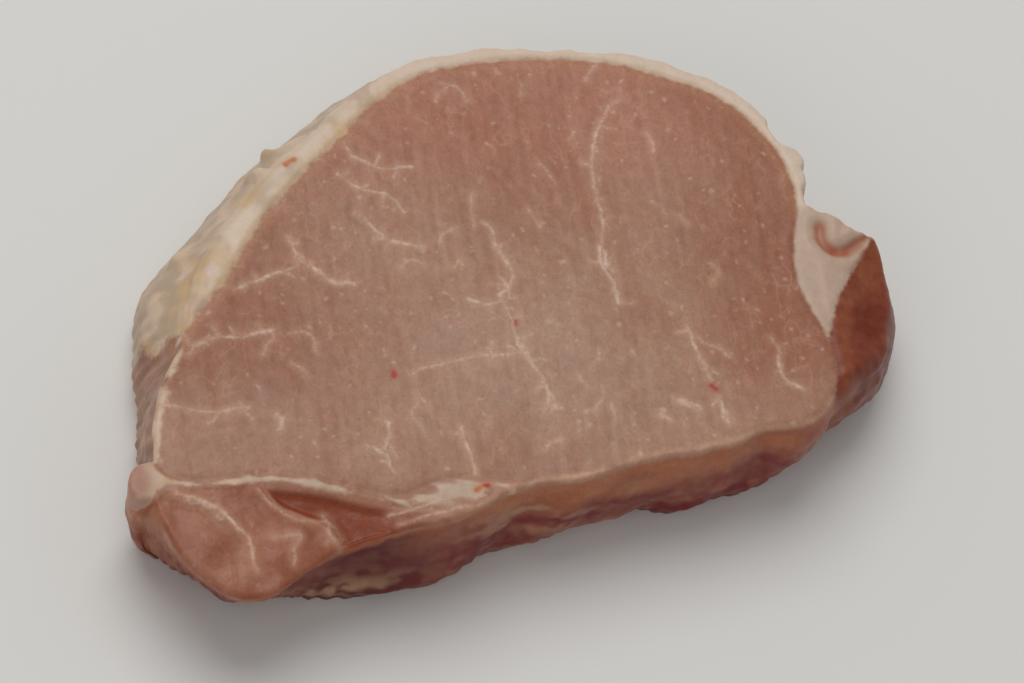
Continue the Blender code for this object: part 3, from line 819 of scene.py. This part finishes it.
def chop_mesh():
    """The whole chop as one closed mesh, with the numbers and colours that its material reads."""
    (points, home, down, edge, wall), homes, faces, threads = chop_layers()
    flat = homes[home]
    depths = {name: values[home] for name, values in region_depths(homes).items()}
    fat = fat_depth(points, flat, down, depths)
    worn = 1.0 + 0.7 * noise(points, 0.8, 13)
    vein = np.full(len(points), FAR)
    face = down < FACE_DEPTH
    for half_width, curve in threads:
        middle = (curve.min(axis=0) + curve.max(axis=0)) / 2.0
        reach = np.ptp(curve, axis=0) / 2.0 - FAR
        near = face & (np.abs(flat - middle) < reach).all(axis=1)
        swell = 0.8 + 0.9 * noise(points[near], 1.3, 11) + 0.6 * noise(points[near], 4.0, 12)
        vein[near] = np.maximum(vein[near], half_width * swell - distance_to_curve(flat[near], curve))
    stain = np.full(len(points), FAR)
    for half_width, start, end in STAINS:
        away = distance_to_curve(flat[face], np.array([start, end]))
        stain[face] = np.maximum(stain[face], half_width * worn[face] - away)
    lean = lean_colours(points, flat, down, edge, depths)
    cream = fat_colours(points, flat, down, depths)
    amount = relief(points, flat, down, wall, depths)
    amount += VEIN_HEIGHT * above(vein, -0.1, 0.3)
    amount -= HOLE_DEPTH * above(stain, -0.2, 0.5) * smoothstep(fat)
    amount *= smoothstep(points[:, 2] / CALM_FOOT)
    points = points + vertex_normals(points, faces) * amount[:, None]
    points[:, 2] = np.maximum(points[:, 2], 0.0)
    points[:, 0] -= MIDDLE[0]
    points[:, 1] -= MIDDLE[1]
    mesh = bpy.data.meshes.new("chop")
    mesh.from_pydata((points * MM).tolist(), [], faces.tolist())
    mesh.shade_smooth()
    grain = grain_share(down, depths)
    numbers = {"fat": fat, "vein": vein, "stain": stain, "grain": grain, "wall": wall}
    for name, values in numbers.items():
        mesh.attributes.new(name, "FLOAT", "POINT").data.foreach_set("value", values.astype(np.float32))
    for name, values in {"lean_colour": lean, "fat_colour": cream}.items():
        rgba = np.column_stack([values, np.ones(len(values))]).astype(np.float32)
        mesh.attributes.new(name, "FLOAT_COLOR", "POINT").data.foreach_set("color", rgba.ravel())
    return mesh


class Nodes:
    """Short ways to add nodes to one material."""

    def __init__(self, name):
        self.material = bpy.data.materials.new(name)
        self.material.use_nodes = True
        self.tree = self.material.node_tree
        self.shader = self.tree.nodes["Principled BSDF"]
        where = self.add("ShaderNodeTexCoord").outputs["Object"]
        self.place = self.vector("SCALE", where, scale=1.0 / MM)

    def add(self, kind, **settings):
        node = self.tree.nodes.new(kind)
        for key, value in settings.items():
            setattr(node, key, value)
        return node

    def link(self, value, socket):
        if isinstance(value, bpy.types.NodeSocket):
            self.tree.links.new(value, socket)
        elif socket.type == "RGBA":
            socket.default_value = (*value, 1.0)
        else:
            socket.default_value = value

    def vector(self, operation, first, second=None, scale=None):
        node = self.add("ShaderNodeVectorMath", operation=operation)
        self.link(first, node.inputs[0])
        if second is not None:
            self.link(second, node.inputs[1])
        if scale is not None:
            self.link(scale, node.inputs["Scale"])
        return node.outputs[0]

    def number(self, name):
        return self.add("ShaderNodeAttribute", attribute_name=name).outputs["Fac"]

    def colour(self, name):
        return self.add("ShaderNodeAttribute", attribute_name=name).outputs["Color"]

    def math(self, operation, *values):
        node = self.add("ShaderNodeMath", operation=operation)
        for value, socket in zip(values, node.inputs):
            self.link(value, socket)
        return node.outputs[0]

    def swing(self, value, amount):
        """A noise value turned into a change around nothing, at most half the amount either way."""
        return self.math("MULTIPLY", self.math("SUBTRACT", value, 0.5), amount)

    def between(self, value, low, high, start=0.0, end=1.0):
        """A smooth step from start to end, while value goes from low to high."""
        node = self.add("ShaderNodeMapRange", interpolation_type="SMOOTHSTEP")
        for entry, socket in zip((value, low, high, start, end), node.inputs):
            self.link(entry, socket)
        return node.outputs[0]

    def noise(self, size, detail=3.0, rough=0.55, stretch=None):
        """Noise from 0 to 1, its lumps about one size apart, in millimetres."""
        place = self.place if stretch is None else self.vector("MULTIPLY", self.place, stretch)
        node = self.add("ShaderNodeTexNoise")
        self.link(place, node.inputs["Vector"])
        node.inputs["Scale"].default_value = 1.0 / size
        node.inputs["Detail"].default_value = detail
        node.inputs["Roughness"].default_value = rough
        return node.outputs["Fac"]

    def bent(self, size, amount):
        """Places pushed about by noise, so that a pattern over them bends."""
        node = self.add("ShaderNodeTexNoise")
        self.link(self.place, node.inputs["Vector"])
        node.inputs["Scale"].default_value = 1.0 / size
        push = self.vector("SUBTRACT", node.outputs["Color"], (0.5, 0.5, 0.5))
        return self.vector("ADD", self.place, self.vector("SCALE", push, scale=amount))

    def cells(self, size, place):
        """Cells about one size apart, each with its own colour."""
        node = self.add("ShaderNodeTexVoronoi")
        self.link(place, node.inputs["Vector"])
        node.inputs["Scale"].default_value = 1.0 / size
        return node

    def blend(self, share, first, second):
        """A blend of two numbers."""
        node = self.add("ShaderNodeMix", data_type="FLOAT")
        self.link(share, node.inputs[0])
        self.link(first, node.inputs[2])
        self.link(second, node.inputs[3])
        return node.outputs[0]

    def red(self, colour):
        """The red part of a colour."""
        node = self.add("ShaderNodeSeparateColor")
        self.link(colour, node.inputs[0])
        return node.outputs[0]

    def mix(self, share, first, second):
        """A blend of two colours."""
        node = self.add("ShaderNodeMix", data_type="RGBA")
        self.link(share, node.inputs[0])
        self.link(first, node.inputs[6])
        self.link(second, node.inputs[7])
        return node.outputs[2]


def solid(colour):
    """One even paint for a material."""
    return tuple(paint(colour))


def chop_material():
    """Raw pork: lean with its grain, fat, veins and stains, under a moist sheen."""
    n = Nodes("raw_pork")
    fine = n.noise(0.5, 4.0, 0.65)
    grain = n.noise(1.5, 3.0)
    patch = n.noise(6.0, 3.0)
    streak = n.noise(0.9, 3.0, 0.6, stretch=(1.0, 0.05, 0.4))
    fibre = n.noise(0.8, 4.0, 0.65, stretch=(1.0, 1.0, 0.14))

    shade = n.math("ADD", 1.0, n.swing(fine, 0.50))
    shade = n.math("ADD", shade, n.swing(grain, 0.28))
    shade = n.math("ADD", shade, n.swing(n.blend(n.number("wall"), streak, fibre), 0.24))
    shade = n.math("ADD", shade, n.swing(patch, 0.16))
    lean = n.vector("SCALE", n.colour("lean_colour"), scale=shade)
    bent = n.bent(1.8, 1.6)
    waves = n.noise(4.2, 2.5, 0.55, stretch=(1.25, 0.8, 1.0))
    ridge = n.math("ABSOLUTE", n.math("SUBTRACT", waves, 0.5))
    web = n.math("MULTIPLY", n.between(ridge, 0.035, 0.0), n.between(patch, 0.40, 0.62, 0.02, 0.20))
    web = n.math("MULTIPLY", web, n.number("grain"))
    lean = n.mix(web, lean, solid(FACE_EDGE))
    cell = n.cells(1.7, bent)
    chosen = n.math("GREATER_THAN", n.red(cell.outputs["Color"]), 0.62)
    size = n.between(n.noise(3.0), 0.35, 0.65, 0.08, 0.24)
    inside = n.between(n.math("SUBTRACT", cell.outputs["Distance"], size), 0.15, -0.15)
    fleck = n.math("MULTIPLY", n.math("MULTIPLY", chosen, inside), n.number("grain"))
    lean = n.mix(n.math("MULTIPLY", fleck, 0.28), lean, solid(VEIN))

    vein = n.math("ADD", n.number("vein"), n.swing(fine, 0.34))
    strength = n.between(n.noise(2.0, 4.0, 0.7), 0.38, 0.66, 0.12, 0.66)
    lean = n.mix(n.between(vein, -1.3, 0.0, 0.0, 0.26), lean, solid(FACE_EDGE))
    lean = n.mix(n.math("MULTIPLY", n.between(vein, -0.42, 0.28), strength), lean, solid(VEIN))

    glow = n.math("ADD", n.math("ADD", 1.0, n.swing(fine, 0.14)), n.swing(grain, 0.16))
    cream = n.vector("SCALE", n.colour("fat_colour"), scale=glow)
    edge = n.math("ADD", n.math("ADD", n.number("fat"), n.swing(grain, 0.6)), n.swing(fine, 0.3))
    fat = n.between(edge, -0.45, 0.40)
    flesh = n.mix(fat, lean, cream)
    stain = n.math("ADD", n.number("stain"), n.swing(fine, 0.2))
    red = n.mix(fat, solid(BLOOD), solid(HOLE))
    flesh = n.mix(n.between(stain, -0.8, 0.0, 0.0, 0.25), flesh, red)
    flesh = n.mix(n.between(stain, -0.25, 0.20, 0.0, 0.75), flesh, red)
    n.link(flesh, n.shader.inputs["Base Color"])

    n.link(n.between(n.noise(2.2, 3.0), 0.3, 0.7, *ROUGH_RANGE), n.shader.inputs["Roughness"])
    n.shader.inputs["Subsurface Weight"].default_value = SCATTER
    n.shader.inputs["Subsurface Radius"].default_value = SCATTER_RADIUS
    n.shader.inputs["Subsurface Scale"].default_value = SCATTER_LENGTH * MM
    n.shader.inputs["Specular IOR Level"].default_value = SPECULAR
    n.shader.inputs["Coat Weight"].default_value = COAT
    n.shader.inputs["Coat Roughness"].default_value = COAT_ROUGHNESS
    rough = n.add("ShaderNodeBump")
    rough.inputs["Strength"].default_value = BUMP_STRENGTH
    rough.inputs["Distance"].default_value = BUMP_DEPTH * MM
    n.link(n.math("ADD", fine, n.math("MULTIPLY", grain, 0.6)), rough.inputs["Height"])
    n.link(rough.outputs["Normal"], n.shader.inputs["Normal"])
    return n.material


def make_chop():
    chop = bpy.data.objects.new("chop", chop_mesh())
    bpy.context.scene.collection.objects.link(chop)
    chop.data.materials.append(chop_material())
    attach(chop, "root")
    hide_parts("loin_eye", "fat_cap", "side_fat", "side_muscle",
                "seam_fat", "flap_strip", "flap_muscle")


def make_floor():
    mesh = bpy.data.meshes.new("floor")
    corners = [(FLOOR_HALF * x, FLOOR_HALF * y, 0.0) for x, y in [(-1, -1), (1, -1), (1, 1), (-1, 1)]]
    mesh.from_pydata(corners, [], [(0, 1, 2, 3)])
    floor = bpy.data.objects.new("floor", mesh)
    floor.location.z = -FLOOR_SINK
    bpy.context.scene.collection.objects.link(floor)
    material = bpy.data.materials.new("pale_floor")
    material.use_nodes = True
    shader = material.node_tree.nodes["Principled BSDF"]
    shader.inputs["Base Color"].default_value = FLOOR_COLOUR
    shader.inputs["Roughness"].default_value = FLOOR_ROUGHNESS
    mesh.materials.append(material)


def make_light(name, place, size, power, colour):
    data = bpy.data.lights.new(name, "AREA")
    data.shape = "DISK"
    data.size = size
    data.energy = power
    data.color = colour
    light = bpy.data.objects.new(name, data)
    light.location = place
    light.rotation_euler = (-Vector(place)).to_track_quat("-Z", "Y").to_euler()
    bpy.context.scene.collection.objects.link(light)


def make_lights():
    for light in LIGHTS:
        make_light(*light)
    world = bpy.data.worlds.new("room")
    bpy.context.scene.world = world
    world.use_nodes = True
    background = world.node_tree.nodes["Background"]
    background.inputs["Color"].default_value = ROOM_COLOUR
    background.inputs["Strength"].default_value = ROOM_STRENGTH


def make_camera():
    azimuth, elevation, roll = (math.radians(a) for a in (VIEW_AZIMUTH, VIEW_ELEVATION, VIEW_ROLL))
    back = Vector((
        math.sin(azimuth) * math.cos(elevation),
        -math.cos(azimuth) * math.cos(elevation),
        math.sin(elevation),
    ))
    turned = (-back).to_track_quat("-Z", "Y").to_matrix() @ Matrix.Rotation(roll, 3, "Z")
    aim = Vector((-MIDDLE[0], -MIDDLE[1], THICKNESS)) * MM
    data = bpy.data.cameras.new("camera")
    data.lens = LENS
    data.clip_start = NEAREST
    camera = bpy.data.objects.new("camera", data)
    camera.matrix_world = Matrix.Translation(aim + back * VIEW_DISTANCE * MM) @ turned.to_4x4()
    bpy.context.scene.collection.objects.link(camera)
    bpy.context.scene.camera = camera


make_chop()
make_floor()
make_lights()
make_camera()
bpy.context.scene.view_settings.view_transform = "Standard"
